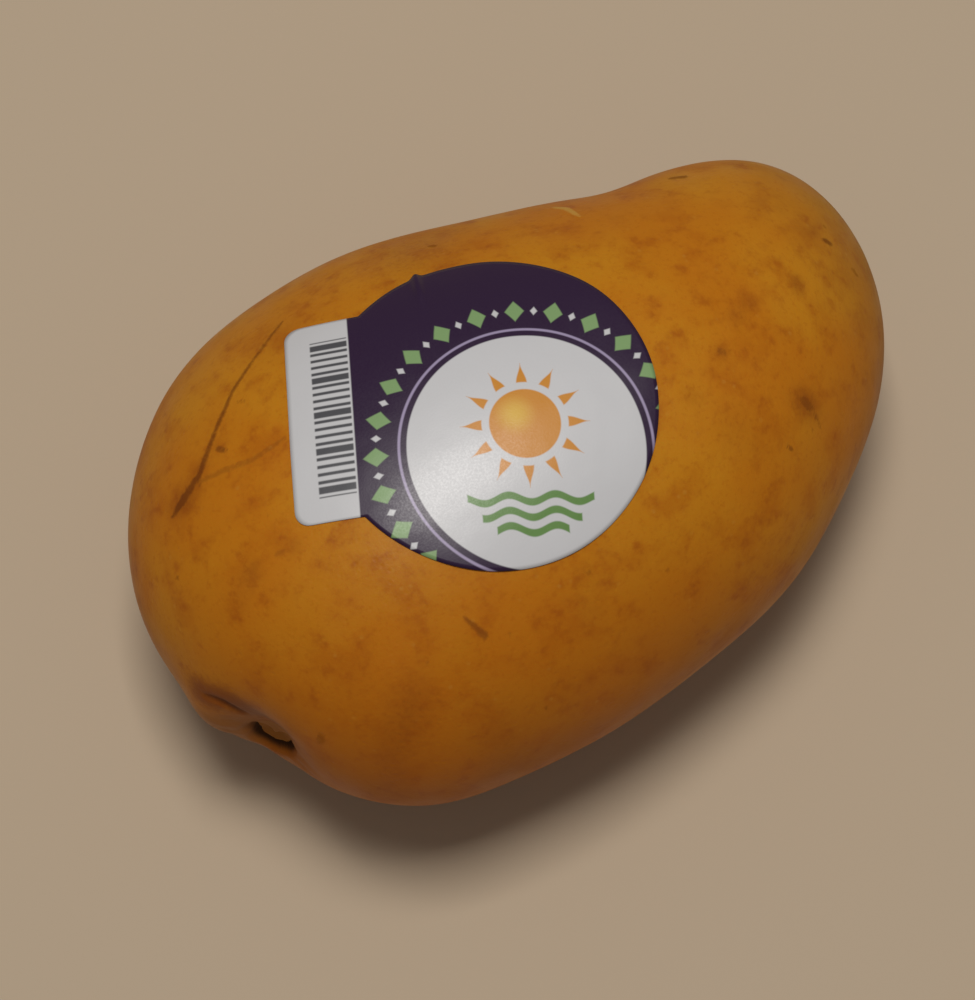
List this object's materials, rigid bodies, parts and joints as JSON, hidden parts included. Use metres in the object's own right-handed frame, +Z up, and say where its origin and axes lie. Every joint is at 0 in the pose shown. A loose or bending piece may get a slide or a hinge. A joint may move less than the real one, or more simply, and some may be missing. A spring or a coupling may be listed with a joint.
{
  "type": "whole mango",
  "caption": "Whole ripe golden mango lying on one cheek, kidney-shaped, with a stem pit, a shallow sinus and a round paper label with a side tab.",
  "frame": {"origin": "middle of the fruit's footprint box, on the surface that it lies on", "axes": "+X from the stem end to the apex, +Y towards the ventral edge with the sinus, +Z up through the upper cheek"},
  "size_m": [0.1038, 0.0698, 0.0588],
  "materials": {
    "mango_skin": "satin",
    "label_paper": "gloss"
  },
  "bodies": {
    "root": {"mango_fruit": "mango_skin", "fruit_sticker": "label_paper"}
  },
  "joints": []
}
